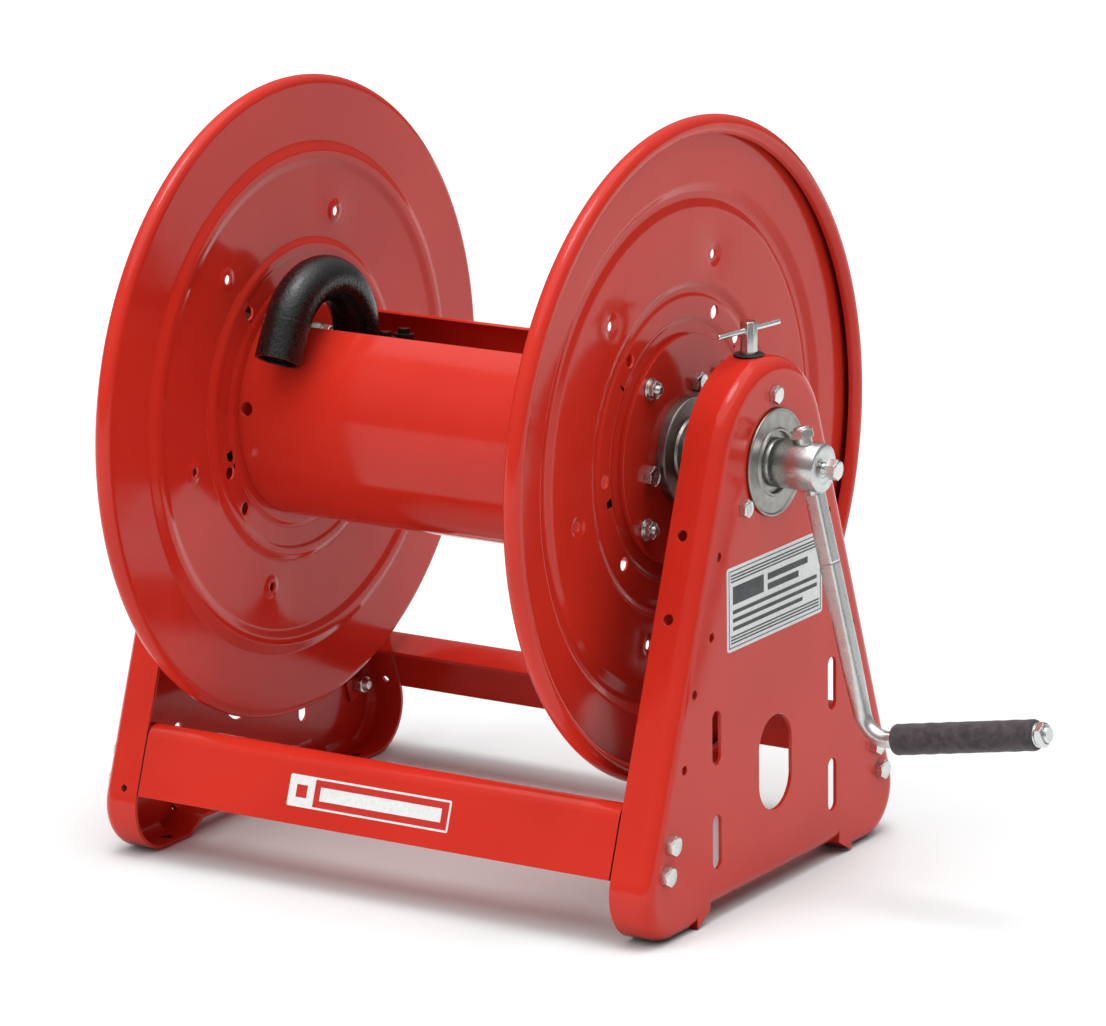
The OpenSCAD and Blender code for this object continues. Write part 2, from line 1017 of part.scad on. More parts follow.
module swivel_body()
  color([0.72, 0.56, 0.28])
    ax()
      difference() {
        union() {
          xrod(-322, -266, 29, f = 64);
          translate([-306, 0, -52])
            cylinder(h = 40, r = 24, $fn = 64);
        }
        xrod(-307, -265, axle_r + 0.06, f = 72);
        xrod(-316, -306, 15, f = 48);
        translate([-306, 0, -53])
          cylinder(h = 53, r = 15, $fn = 48);
        translate([-306, 0, -53])
          cylinder(h = 26, r = 16.6, $fn = 48);
        for (x = [-286, -298])
          xrod(x, x + 4, 21.5, f = 64);
      }

module swivel_seals()
  color([0.08, 0.08, 0.08])
    ax()
      for (x = [-285.8, -297.8])
        xring(x, x + 3.6, 21.4, axle_r + 0.35);

module swivel_ring()
  color(steel)
    ax()
      xring(-265.4, -262, 25, axle_r);

// ---- build ----

side_frame_right();
side_frame_left();
cross_member_front();
cross_member_rear();
frame_bolts();
frame_nuts();
bearing_housing_right();
bearing_housing_left();
bearing_cover_right();
bearing_cover_left();
bearing_outer_right();
bearing_outer_left();
bearing_inner_right();
bearing_inner_left();
bearing_bolts();
bearing_nuts();
brake_nut();
brake_washer();
nameplate();
front_label();
disc_left();
disc_right();
drum_shell();
hub_plate_left();
hub_plate_right();
hub_cap_left();
hub_cap_right();
hub_collar_left();
hub_collar_right();
hub_bolts();
hub_nuts();
shell_bolts();
shell_nuts();
crank_shaft();
inlet_shaft();
riser_block();
riser_gasket();
gooseneck();
riser_studs();
riser_nuts();
crank_arm();
crank_nut();
crank_lock_screw();
grip_sleeve();
grip_washer();
grip_nut();
brake_shoe();
brake_pad();
brake_screw();
brake_tbar();
swivel_body();
swivel_seals();
swivel_ring();
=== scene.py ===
import json
import math

import bmesh
import bpy
from mathutils import Matrix, Vector
from mathutils.geometry import delaunay_2d_cdt


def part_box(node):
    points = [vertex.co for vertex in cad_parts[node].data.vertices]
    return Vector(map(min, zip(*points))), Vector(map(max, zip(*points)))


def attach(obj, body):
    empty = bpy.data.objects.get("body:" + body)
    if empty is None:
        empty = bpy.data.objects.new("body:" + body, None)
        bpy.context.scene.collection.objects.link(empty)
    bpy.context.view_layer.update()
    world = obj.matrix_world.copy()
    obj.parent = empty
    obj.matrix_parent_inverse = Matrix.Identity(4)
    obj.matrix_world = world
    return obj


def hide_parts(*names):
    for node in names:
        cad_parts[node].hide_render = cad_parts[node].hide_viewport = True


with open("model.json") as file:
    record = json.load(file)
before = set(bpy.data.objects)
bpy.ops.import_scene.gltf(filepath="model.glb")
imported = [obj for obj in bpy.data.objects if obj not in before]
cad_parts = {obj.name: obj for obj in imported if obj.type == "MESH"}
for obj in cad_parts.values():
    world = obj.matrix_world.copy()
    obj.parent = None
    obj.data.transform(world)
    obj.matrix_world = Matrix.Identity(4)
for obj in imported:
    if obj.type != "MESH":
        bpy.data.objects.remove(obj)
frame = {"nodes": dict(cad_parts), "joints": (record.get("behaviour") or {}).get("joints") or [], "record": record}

MM = 0.001
TAU = 2 * math.pi
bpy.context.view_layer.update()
JOINTS = {j["name"]: j for j in frame["joints"]}
AX = JOINTS["reel_spin"]["pos_m"][2] / MM  # height of the axle in millimetres


# ---------------------------------------------------------------- materials

def node_tree(name):
    """A new node material: its nodes, its links and its Principled shader."""
    m = bpy.data.materials.new(name)
    m.use_nodes = True
    nodes, links = m.node_tree.nodes, m.node_tree.links
    return m, nodes, links, nodes["Principled BSDF"]


def noise(nodes, links, scale, detail=3.0, stretch=(1, 1, 1)):
    """Noise of that scale on the object's own coordinates."""
    coords = nodes.new("ShaderNodeTexCoord")
    mapping = nodes.new("ShaderNodeMapping")
    mapping.inputs["Scale"].default_value = stretch
    texture = nodes.new("ShaderNodeTexNoise")
    texture.inputs["Scale"].default_value = scale
    texture.inputs["Detail"].default_value = detail
    links.new(coords.outputs["Object"], mapping.inputs["Vector"])
    links.new(mapping.outputs["Vector"], texture.inputs["Vector"])
    return texture.outputs["Fac"]


def spread(nodes, links, value, low, high, start=0.35, end=0.65):
    """Maps start..end of a value to low..high."""
    node = nodes.new("ShaderNodeMapRange")
    node.inputs["From Min"].default_value = start
    node.inputs["From Max"].default_value = end
    node.inputs["To Min"].default_value = low
    node.inputs["To Max"].default_value = high
    links.new(value, node.inputs["Value"])
    return node.outputs["Result"]


def blend_colours(nodes, links, factor, first, second):
    """A mix of two colours, or of a colour output and a colour, by a factor output."""
    node = nodes.new("ShaderNodeMix")
    node.data_type = "RGBA"
    links.new(factor, node.inputs["Factor"])
    for socket, colour in ((node.inputs[6], first), (node.inputs[7], second)):
        if hasattr(colour, "is_output"):
            links.new(colour, socket)
        else:
            socket.default_value = (*colour, 1)
    return node.outputs[2]


def edge_mask(nodes, links, radius, low=0.02, high=0.25):
    """1 on sharp edges and 0 on flat areas, from how far a bevelled normal turns."""
    bevel = nodes.new("ShaderNodeBevel")
    bevel.samples = 4
    bevel.inputs["Radius"].default_value = radius
    geometry = nodes.new("ShaderNodeNewGeometry")
    dot = nodes.new("ShaderNodeVectorMath")
    dot.operation = "DOT_PRODUCT"
    links.new(bevel.outputs["Normal"], dot.inputs[0])
    links.new(geometry.outputs["Normal"], dot.inputs[1])
    return spread(nodes, links, dot.outputs["Value"], 1, 0, 1 - high, 1 - low)


def bump(nodes, links, heights, normal=None):
    """A chain of bump nodes: each height is (output, strength, distance in metres)."""
    for height, strength, distance in heights:
        node = nodes.new("ShaderNodeBump")
        node.inputs["Strength"].default_value = strength
        node.inputs["Distance"].default_value = distance
        links.new(height, node.inputs["Height"])
        if normal is not None:
            links.new(normal, node.inputs["Normal"])
        normal = node.outputs["Normal"]
    return normal


def soft_edges(nodes, radius):
    """Normals that round the edges over a radius in metres."""
    bevel = nodes.new("ShaderNodeBevel")
    bevel.samples = 4
    bevel.inputs["Radius"].default_value = radius
    return bevel.outputs["Normal"]


def red_enamel():
    """Gloss enamel with painted shade: darker in hollows and deep inside where shade falls, with dimmer
    reflections there, thinner on edges, with an orange peel.
    """
    m, n, k, bsdf = node_tree("red_enamel")
    tone = spread(n, k, noise(n, k, 9, 2), 0, 1)
    base = blend_colours(n, k, tone, (0.56, 0.024, 0.013), (0.61, 0.029, 0.016))
    base = blend_colours(n, k, edge_mask(n, k, 0.0012), base, (0.70, 0.07, 0.045))
    # painted shade: the base colour goes towards near-black red in crevices and tight hollows, where shade falls
    crevice_painted_shade = n.new("ShaderNodeAmbientOcclusion")
    crevice_painted_shade.samples = 8
    crevice_painted_shade.inputs["Distance"].default_value = 0.014
    base = blend_colours(n, k, spread(n, k, crevice_painted_shade.outputs["AO"], 1, 0, 0.10, 0.62), base,
                         (0.10, 0.004, 0.003))
    # painted shade: the base colour darkens broadly between parts and deep inside the reel, where shade falls
    deep_painted_shade = n.new("ShaderNodeAmbientOcclusion")
    deep_painted_shade.samples = 8
    deep_painted_shade.inputs["Distance"].default_value = 0.12
    base = blend_colours(n, k, spread(n, k, deep_painted_shade.outputs["AO"], 0.5, 0, 0.02, 0.42), base,
                         (0.14, 0.005, 0.004))
    k.new(base, bsdf.inputs["Base Color"])
    k.new(spread(n, k, noise(n, k, 60, 4), 0.10, 0.15), bsdf.inputs["Roughness"])
    # painted shade on reflections: the specular level drops where the broad occlusion is dark
    k.new(spread(n, k, deep_painted_shade.outputs["AO"], 0.08, 0.29, 0.10, 0.6), bsdf.inputs["Specular IOR Level"])
    peel = noise(n, k, 420, 2)
    sag = noise(n, k, 45, 2)
    k.new(bump(n, k, [(sag, 0.12, 0.0006), (peel, 0.10, 0.0002)], soft_edges(n, 0.0011)),
          bsdf.inputs["Normal"])
    return m


def metal(name, colour, worn, rough, grain, stretch=(1, 1, 1), edge=0.0006):
    """A bare or plated metal with fine grain, a varying shine and brighter edges, if edge isn't 0."""
    m, n, k, bsdf = node_tree(name)
    base = blend_colours(n, k, spread(n, k, noise(n, k, 140, 4), 0.25, 0.75), colour, worn)
    if edge:
        bright = tuple(min(1, c * 1.25) for c in worn)
        base = blend_colours(n, k, edge_mask(n, k, edge), base, bright)
    k.new(base, bsdf.inputs["Base Color"])
    bsdf.inputs["Metallic"].default_value = 1
    fine = noise(n, k, grain, 3, stretch)
    k.new(spread(n, k, fine, rough * 0.9, rough * 1.12), bsdf.inputs["Roughness"])
    k.new(bump(n, k, [(fine, 0.15, 0.00001)], soft_edges(n, edge) if edge else None),
          bsdf.inputs["Normal"])
    return m


def textured_black():
    """The pebbled black coat of the gooseneck."""
    m, n, k, bsdf = node_tree("black_textured_coat")
    pebble = noise(n, k, 520, 3)
    base = blend_colours(n, k, spread(n, k, pebble, 0, 1),
                         (0.003, 0.003, 0.003), (0.008, 0.008, 0.008))
    k.new(base, bsdf.inputs["Base Color"])
    k.new(spread(n, k, noise(n, k, 260, 3), 0.20, 0.34), bsdf.inputs["Roughness"])
    lumps = noise(n, k, 330, 2)
    k.new(bump(n, k, [(lumps, 0.35, 0.0005), (pebble, 0.7, 0.0005)], soft_edges(n, 0.001)),
          bsdf.inputs["Normal"])
    return m


def foam():
    """Closed-cell foam with small dark pores."""
    m, n, k, bsdf = node_tree("grip_foam")
    cells = n.new("ShaderNodeTexVoronoi")
    cells.inputs["Scale"].default_value = 1500
    coords = n.new("ShaderNodeTexCoord")
    k.new(coords.outputs["Object"], cells.inputs["Vector"])
    pores = cells.outputs["Distance"]
    base = blend_colours(n, k, spread(n, k, noise(n, k, 160, 4), 0, 1),
                         (0.030, 0.023, 0.026), (0.062, 0.050, 0.054))
    base = blend_colours(n, k, spread(n, k, pores, 0.5, 0, 0.0, 0.3), base, (0.012, 0.010, 0.011))
    k.new(base, bsdf.inputs["Base Color"])
    k.new(spread(n, k, noise(n, k, 300, 2), 0.78, 0.95), bsdf.inputs["Roughness"])
    bsdf.inputs["Sheen Weight"].default_value = 0.25
    k.new(bump(n, k, [(pores, 0.5, 0.0004), (noise(n, k, 90, 3), 0.4, 0.0008)], soft_edges(n, 0.001)),
          bsdf.inputs["Normal"])
    return m


def dull(name, dark, light, low, high, scale, depth=0.0003, edge=0.0004):
    """A plain non-metal: rubber, lining or printed film. With an edge of 0 its edges stay sharp."""
    m, n, k, bsdf = node_tree(name)
    fine = noise(n, k, scale, 4)
    k.new(blend_colours(n, k, spread(n, k, fine, 0, 1), dark, light), bsdf.inputs["Base Color"])
    k.new(spread(n, k, noise(n, k, scale * 0.4, 3), low, high), bsdf.inputs["Roughness"])
    k.new(bump(n, k, [(fine, 0.25, depth)], soft_edges(n, edge) if edge else None),
          bsdf.inputs["Normal"])
    return m


RED = red_enamel()
ZINC = metal("zinc_plate", (0.60, 0.61, 0.60), (0.74, 0.74, 0.72), 0.26, 900)
BAR = metal("plated_bar", (0.62, 0.62, 0.61), (0.74, 0.74, 0.72), 0.30, 500, edge=0)
SHAFT = metal("turned_steel", (0.50, 0.50, 0.49), (0.66, 0.66, 0.65), 0.28, 700, (6, 1, 1))
DARK = metal("pressed_steel", (0.26, 0.245, 0.225), (0.42, 0.40, 0.37), 0.38, 500)
BRASS = metal("machined_brass", (0.55, 0.36, 0.13), (0.72, 0.52, 0.22), 0.27, 700, (5, 1, 1))
BLACK = textured_black()
FOAM = foam()
RUBBER = dull("seal_rubber", (0.012, 0.012, 0.012), (0.03, 0.03, 0.03), 0.6, 0.8, 700)
LINING = dull("brake_lining", (0.10, 0.07, 0.05), (0.22, 0.16, 0.11), 0.8, 0.95, 900)
FILM = dull("label_film", (0.72, 0.73, 0.73), (0.80, 0.81, 0.80), 0.30, 0.42, 300, 0.00002, 0)
INK = dull("label_ink", (0.018, 0.018, 0.02), (0.035, 0.035, 0.04), 0.35, 0.5, 300, 0.00002, 0)
PRINT_RED = dull("label_red", (0.50, 0.020, 0.012), (0.56, 0.026, 0.015), 0.30, 0.42, 300, 0.00002,
                 0)
FINISH = {"red_enamel": RED, "zinc_steel": ZINC, "bare_steel": SHAFT, "dark_steel": DARK,
          "black_pipe": BLACK, "rubber_seal": RUBBER, "grip_foam": FOAM, "label_white": FILM,
          "brake_lining": LINING, "brass": BRASS}


def finish_cad_nodes():
    """Every CAD node that stays shown takes the material of its slot."""
    for part in frame["record"]["subparts"]:
        node = frame["nodes"][part["node"]]
        node.data.materials.clear()
        node.data.materials.append(FINISH[part["material_slot"]])


finish_cad_nodes()


# ---------------------------------------------------------------- mesh helpers

def turned(axis, place):
    """A matrix that puts local Z along a direction, with the origin at a place, in millimetres."""
    z = Vector(axis).normalized()
    x = (Vector((0, 0, 1)) if abs(z.z) < 0.9 else Vector((1, 0, 0))).cross(z).normalized()
    return Matrix.Translation(place) @ Matrix((x, z.cross(x), z)).transposed().to_4x4()


def bands(rings, n):
    """The four-sided faces between closed rings of n vertices, one ring after another."""
    return [(i * n + j, i * n + (j + 1) % n, (i + 1) * n + (j + 1) % n, (i + 1) * n + j)
            for i in range(rings - 1) for j in range(n)]


class Shape:
    """Vertices and faces of one piece in millimetres; each face has a material number."""

    def __init__(self):
        self.verts, self.faces, self.finish = [], [], []

    def add(self, verts, faces, place=None, finish=0):
        start = len(self.verts)
        self.verts += [place @ Vector(v) if place else Vector(v) for v in verts]
        self.faces += [tuple(start + i for i in f) for f in faces]
        self.finish += [finish] * len(faces)

    def lathe(self, line, place, n=48):
        """Turns a line round local Z. Its points are (radius, height) or functions of the angle."""
        verts = []
        for p in line:
            for j in range(n):
                a = TAU * j / n
                r, h = p(a) if callable(p) else p
                verts.append((r * math.cos(a), r * math.sin(a), h))
        self.add(verts, bands(len(line), n), place)

    def hexagon(self, across, low, high, place, bore=0.0, both=False):
        """A bolt head or a nut with its corners cut back by a cone at the high end, or at both."""
        flat = across / 2
        land = flat * 0.94

        def corner(a):
            return flat / math.cos((a + math.pi / 6) % (math.pi / 3) - math.pi / 6)

        def cut(a):
            return (corner(a) - land) * math.tan(math.radians(32))

        line = [(bore, low)]
        if both:
            line += [(land, low), lambda a: (corner(a), low + cut(a))]
        else:
            line += [lambda a: (corner(a), low)]
        line += [lambda a: (corner(a), high - cut(a)), (land, high)]
        if bore:
            line += [(bore + 0.9, high), (bore, high - 0.9), (bore, low)]
        else:
            line += [(flat * 0.45, high), (0, high - 0.15)]
        self.lathe(line, place, 72)

    def thread(self, radius, low, high, pitch, place):
        """A screw thread on a core with a chamfered tip at the high end."""
        depth = min(0.55, pitch * 0.5)
        n, root = 28, radius - depth
        count = int(n * (high - low - pitch * 1.2) / pitch)
        verts, faces = [], []
        for i in range(count + n + 1):
            a = TAU * i / n
            for r, up in ((root, 0.0), (radius, 0.4), (radius, 0.55)):
                h = low + pitch * (i / n + up)
                verts.append((r * math.cos(a), r * math.sin(a), h))
        for i in range(count):
            a, b, c, d = 3 * i, 3 * i + 3, 3 * (i + n), 3 * (i + n) + 3
            faces += [(a, b, b + 1, a + 1), (a + 1, b + 1, b + 2, a + 2), (a + 2, b + 2, d, c)]
        self.add(verts, faces, place)
        self.lathe([(root - 0.02, low), (root - 0.02, high - 0.6), (root - 0.6, high), (0, high)],
                   place, n)

    def sweep(self, points, radii, n=24, side=None, squareness=None):
        """A bar along points with a radius at each; squareness 2 is round and 10 nearly square."""
        squareness = squareness or [2] * len(points)
        points = [Vector(p) for p in points]
        verts = []
        for i, p in enumerate(points):
            t = (points[min(i + 1, len(points) - 1)] - points[max(i - 1, 0)]).normalized()
            side = t.orthogonal() if side is None else side
            side = (side - t * side.dot(t)).normalized()
            up = t.cross(side)
            m = squareness[i]
            for j in range(n):
                a = TAU * j / n
                r = radii[i] / (abs(math.cos(a)) ** m + abs(math.sin(a)) ** m) ** (1 / m)
                verts.append(p + r * (math.cos(a) * side + math.sin(a) * up))
        ends = [tuple(range(n))[::-1], tuple(range((len(points) - 1) * n, len(points) * n))]
        self.add(verts, bands(len(points), n) + ends)

    def block(self, outline, low, high, place, bevel=0.0, finish=0):
        """A plate with an outline in local XY, its top edge bevelled unless the bevel is 0."""
        n = len(outline)
        centre = sum((Vector(p) for p in outline), Vector((0, 0))) / n

        def ring(inset, h):
            out = []
            for p in outline:
                d = centre - Vector(p)
                q = Vector(p) + d.normalized() * min(inset, d.length)
                out.append((q.x, q.y, h))
            return out

        rings = [ring(0, low), ring(0, high - bevel)] + ([ring(bevel, high)] if bevel else [])
        top = (len(rings) - 1) * n
        ends = [tuple(range(n))[::-1], tuple(range(top, top + n))]
        self.add([v for r in rings for v in r], bands(len(rings), n) + ends, place, finish)

    def make(self, name, materials, body, slot, *nodes, sharp=38):
        """The mesh object, riding on its body in place of its CAD nodes."""
        mesh = bpy.data.meshes.new(name)
        mesh.from_pydata([v * MM for v in self.verts], [], self.faces)
        for m in materials:
            mesh.materials.append(m)
        mesh.polygons.foreach_set("material_index", self.finish)
        bm = bmesh.new()
        bm.from_mesh(mesh)
        bmesh.ops.remove_doubles(bm, verts=bm.verts, dist=2e-6)
        bmesh.ops.dissolve_degenerate(bm, edges=bm.edges, dist=1e-6)
        bmesh.ops.recalc_face_normals(bm, faces=bm.faces)
        bm.to_mesh(mesh)
        bm.free()
        mesh.polygons.foreach_set("use_smooth", [True] * len(mesh.polygons))
        mesh.set_sharp_from_angle(angle=math.radians(sharp))
        o = bpy.data.objects.new(name, mesh)
        bpy.context.scene.collection.objects.link(o)
        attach(o, body)
        if nodes:
            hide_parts(*nodes)
        return o


def islands(node):
    """The separate solids of a CAD node: each its lowest and highest corner in millimetres."""
    mesh = frame["nodes"][node].data
    bm = bmesh.new()
    bm.from_mesh(mesh)
    bmesh.ops.remove_doubles(bm, verts=bm.verts, dist=1e-6)
    left, found = set(bm.verts), []
    while left:
        stack, group = [left.pop()], []
        while stack:
            v = stack.pop()
            group.append(v.co.copy())
            for e in v.link_edges:
                w = e.other_vert(v)
                if w in left:
                    left.discard(w)
                    stack.append(w)
        lo = Vector([min(c[i] for c in group) for i in range(3)]) / MM
        hi = Vector([max(c[i] for c in group) for i in range(3)]) / MM
        if (hi - lo).length > 4:
            found.append((lo, hi))
    bm.free()
    return sorted(found, key=lambda b: tuple(round(x, 2) for x in b[0]))


def node_box(node):
    """The lowest and highest corner of a CAD node in millimetres."""
    lo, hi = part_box(node)
    return lo / MM, hi / MM


def rounded(line, radius, steps=3):
    """A flat line of points with its corners rounded."""
    line = [Vector(p) for p in line]
    out = [line[0]]
    for a, b, c in zip(line, line[1:], line[2:]):
        u, v = a - b, c - b
        d = min(radius, u.length * 0.48, v.length * 0.48)
        p, q = b + u.normalized() * d, b + v.normalized() * d
        for i in range(steps + 1):
            t = i / steps
            out.append(p * (1 - t) ** 2 + b * 2 * t * (1 - t) + q * t * t)
    return [(p.x, p.y) for p in out + [line[-1]]]


def sheet_shape(verts, faces, offsets):
    """A sheet given thickness: the second face is each vertex moved by its offset."""
    n = len(verts)
    edges = {}
    for f in faces:
        for a, b in zip(f, f[1:] + f[:1]):
            key = (min(a, b), max(a, b))
            edges[key] = None if key in edges else (a, b)
    walls = [(b, a, a + n, b + n) for e in edges.values() if e for a, b in [e]]
    back = [tuple(i + n for i in reversed(f)) for f in faces]
    return verts + [v + o for v, o in zip(verts, offsets)], faces + back + walls


# ---------------------------------------------------------------- end discs

HUB_R, SMALL_HOLES, LARGE_HOLES = 24.0, 153.0, 111.0  # radii of the bore and of the two hole circles
SMALL_HOLE_R, LARGE_HOLE_R, DIMPLE_R = 4.0, 5.5, 10.5
DIMPLE_DEPTH = 1.5
HOLE_SIDES = 32
DISC_SIDES = 288
DISC_T = 2.0  # thickness of the sheet
BEAD_R = 7.5  # outside radius of the rolled rim
DISH = 4.5  # how far the middle of a disc is set in from its rim


def polar(radius, degrees):
    a = math.radians(degrees)
    return Vector((radius * math.cos(a), radius * math.sin(a)))


def disc_piece(name, node, side, large):
    """A pressed disc: a rolled rim, two ribs, dimpled holes and the sheet's own thickness.

    Its line is (radius, height), and large holds the directions of the large holes in degrees.
    """
    lo, hi = node_box(node)
    rim = (hi.z - lo.z) / 2 - BEAD_R
    face = lo.x + DISH if side > 0 else hi.x - DISH
    web = rounded([(HUB_R, -DISH), (99.5, -DISH), (102.5, -3.4), (118, -3.4), (121.5, -4.4), (126, -4.4),
                   (130.5, -2), (187.5, -1.8), (194, -4.0), (200, -4.0), (207, 0), (rim, 0)], 1.2)
    curl = [(rim + BEAD_R * math.cos(math.radians(a)), BEAD_R + BEAD_R * math.sin(math.radians(a)))
            for a in range(-84, 181, 11)]
    line = web + curl
    flats = ((102.6, 116.9), (130.6, 187.4))

    def height(r):
        for (r0, h0), (r1, h1) in zip(web, web[1:]):
            if r0 <= r <= r1:
                return h0 + (h1 - h0) * (r - r0) / max(1e-9, r1 - r0)
        return web[-1][1]

    verts, faces, offsets, ring_of = [], [], [], []
    for i, (r, h) in enumerate(line):
        before, after = line[max(i - 1, 0)], line[min(i + 1, len(line) - 1)]
        t = (Vector(after) - Vector(before)).normalized()
        normal = Vector((-t.y, t.x))
        ring_of.append(len(verts))
        for j in range(DISC_SIDES):
            a = TAU * j / DISC_SIDES
            verts.append(Vector((r * math.cos(a), r * math.sin(a), h)))
            offsets.append(Vector((normal.x * math.cos(a), normal.x * math.sin(a), normal.y)) * DISC_T)
    for i in range(len(line) - 1):
        r0, r1 = line[i][0], line[i + 1][0]
        if i < len(web) - 1 and any(a < (r0 + r1) / 2 < b and r1 - r0 > 8 for a, b in flats):
            faces += holed_band(verts, offsets, ring_of[i], ring_of[i + 1], r0, r1, height, large)
            continue
        for j in range(DISC_SIDES):
            k = (j + 1) % DISC_SIDES
            faces.append((ring_of[i] + j, ring_of[i] + k, ring_of[i + 1] + k, ring_of[i + 1] + j))
    verts, faces = sheet_shape(verts, faces, offsets)
    place = Matrix.Translation((face, 0, AX)) @ Matrix(((0, 0, side), (1, 0, 0), (0, 1, 0))).to_4x4()
    shape = Shape()
    shape.add(verts, faces, place)
    return shape.make(name, [RED], "reel", "red_enamel", node, sharp=50)


def holed_band(verts, offsets, inner, outer, r0, r1, height, large):
    """The triangles of a flat band between two rings of vertices, with its round holes cut out."""
    points, index, edges, holes = [], [], [], []
    for start in (inner, outer):
        first = len(points)
        for j in range(DISC_SIDES):
            points.append(verts[start + j].xy)
            index.append(start + j)
            edges.append((first + j, first + (j + 1) % DISC_SIDES))
    if r0 < SMALL_HOLES < r1:
        holes = [(polar(SMALL_HOLES, 70.8 + 60 * i), SMALL_HOLE_R, DIMPLE_R) for i in range(6)]
    elif r0 < LARGE_HOLES < r1:
        holes = [(polar(LARGE_HOLES, a), LARGE_HOLE_R, 0) for a in large]
    for centre, radius, dimple in holes:
        rings = [radius] + ([radius + 1.4, radius + 3.6, radius + 5.4, dimple] if dimple else [])
        for ring in rings:
            first = len(points)
            drop = 0.0
            if dimple:
                t = (dimple - ring) / (dimple - radius - 1.4)
                drop = -DIMPLE_DEPTH * min(1, t) ** 2 * (3 - 2 * min(1, t))
            for j in range(HOLE_SIDES):
                a = TAU * j / HOLE_SIDES
                p = centre + Vector((ring * math.cos(a), ring * math.sin(a)))
                points.append(p)
                index.append(len(verts))
                verts.append(Vector((p.x, p.y, height(p.length) + drop)))
                offsets.append(Vector((0, 0, DISC_T)))
                edges.append((first + j, first + (j + 1) % HOLE_SIDES))
    out_points, _, out_faces, originals = delaunay_2d_cdt(points, edges, [], 0, 1e-6)[:4]
    faces = []
    for f in out_faces:
        c = sum((out_points[i] for i in f), Vector((0, 0))) / 3
        if c.length < r0 * 0.9995 or any((c - h[0]).length < h[1] * 0.99 for h in holes):
            continue
        faces.append(tuple(index[originals[i][0]] for i in f))
    return faces


# ---------------------------------------------------------------- screws and nuts

LARGE_HEX, LARGE_BOLT, LARGE_NUT = 14.3, 4.75, 4.8  # across flats, screw radius, nut bore radius
SMALL_HEX, SMALL_BOLT, SMALL_NUT = 12.7, 4.0, 4.05
FINE, COARSE = 1.27, 1.8  # pitches


def screw_axis(lo, hi):
    """Local Z outward and inward along X through a solid, and how far out its two ends are."""
    side = 1 if lo.x + hi.x > 0 else -1
    place = (0, (lo.y + hi.y) / 2, (lo.z + hi.z) / 2)
    near, far = sorted((abs(lo.x), abs(hi.x)))
    return turned((side, 0, 0), place), turned((-side, 0, 0), place), near, far


def bolts(node, body, across, radius, head, pitch):
    """Hex bolts with their heads outward, in place of the solids of a node."""
    shape = Shape()
    for lo, hi in islands(node):
        out, back, near, far = screw_axis(lo, hi)
        shape.hexagon(across, far - head, far, out)
        shape.thread(radius, -far + head, -near, pitch, back)
    shape.make(node + "_detailed", [ZINC], body, "zinc_steel", node)


def nuts(node, body, across, radius):
    """Hex nuts on the inner side, in place of the solids of a node."""
    shape = Shape()
    for lo, hi in islands(node):
        _, back, near, far = screw_axis(lo, hi)
        shape.hexagon(across, -far, -near, back, radius, both=True)
    shape.make(node + "_detailed", [ZINC], body, "zinc_steel", node)


def shell_screws():
    """Round-headed screws from inside the drum, and their flanged nuts outside the discs."""
    head, flange = 4.4, 1.6
    shape = Shape()
    for lo, hi in islands("shell_bolts"):
        out, _, near, far = screw_axis(lo, hi)
        shape.thread(SMALL_BOLT, near + 2, far, 1.2, out)
        shape.lathe([(0, near), (5.5, near), (8.4, near + 1.8), (8.5, near + head), (0, near + head)], out)
    shape.make("shell_bolts_detailed", [ZINC], "reel", "zinc_steel", "shell_bolts")
    shape = Shape()
    for lo, hi in islands("shell_nuts"):
        out, _, near, far = screw_axis(lo, hi)
        shape.lathe([(SMALL_NUT, near), (8.5, near), (8.6, near + 0.3), (8.6, near + 1.3),
                     (8.3, near + flange), (SMALL_NUT, near + flange)], out)
        shape.hexagon(SMALL_HEX, near + flange, far, out, SMALL_NUT, both=True)
    shape.make("shell_nuts_detailed", [ZINC], "reel", "zinc_steel", "shell_nuts")


# ---------------------------------------------------------------- crank, grip and brake

CRANK_X = 285.7  # where the line of the crank's rod crosses the axle
CRANK_LEAN, ELBOW = math.radians(13.75), math.radians(86.25)  # the rod's lean and the bend's turn
ARM_LENGTH, BEND_R = 216, 22.0  # from the axle to the corner, and the bend's centreline radius
ROD_R, FLAT_R, GROOVE_R, GRIP_ROD_R = 6.6, 6.35, 6.22, 6.5  # round, square, scribed and under the grip
GRIP_START, GRIP_LENGTH = 24.5, 123.4
GRIP_RINGS = 44
GRIP_HEX = 17.4


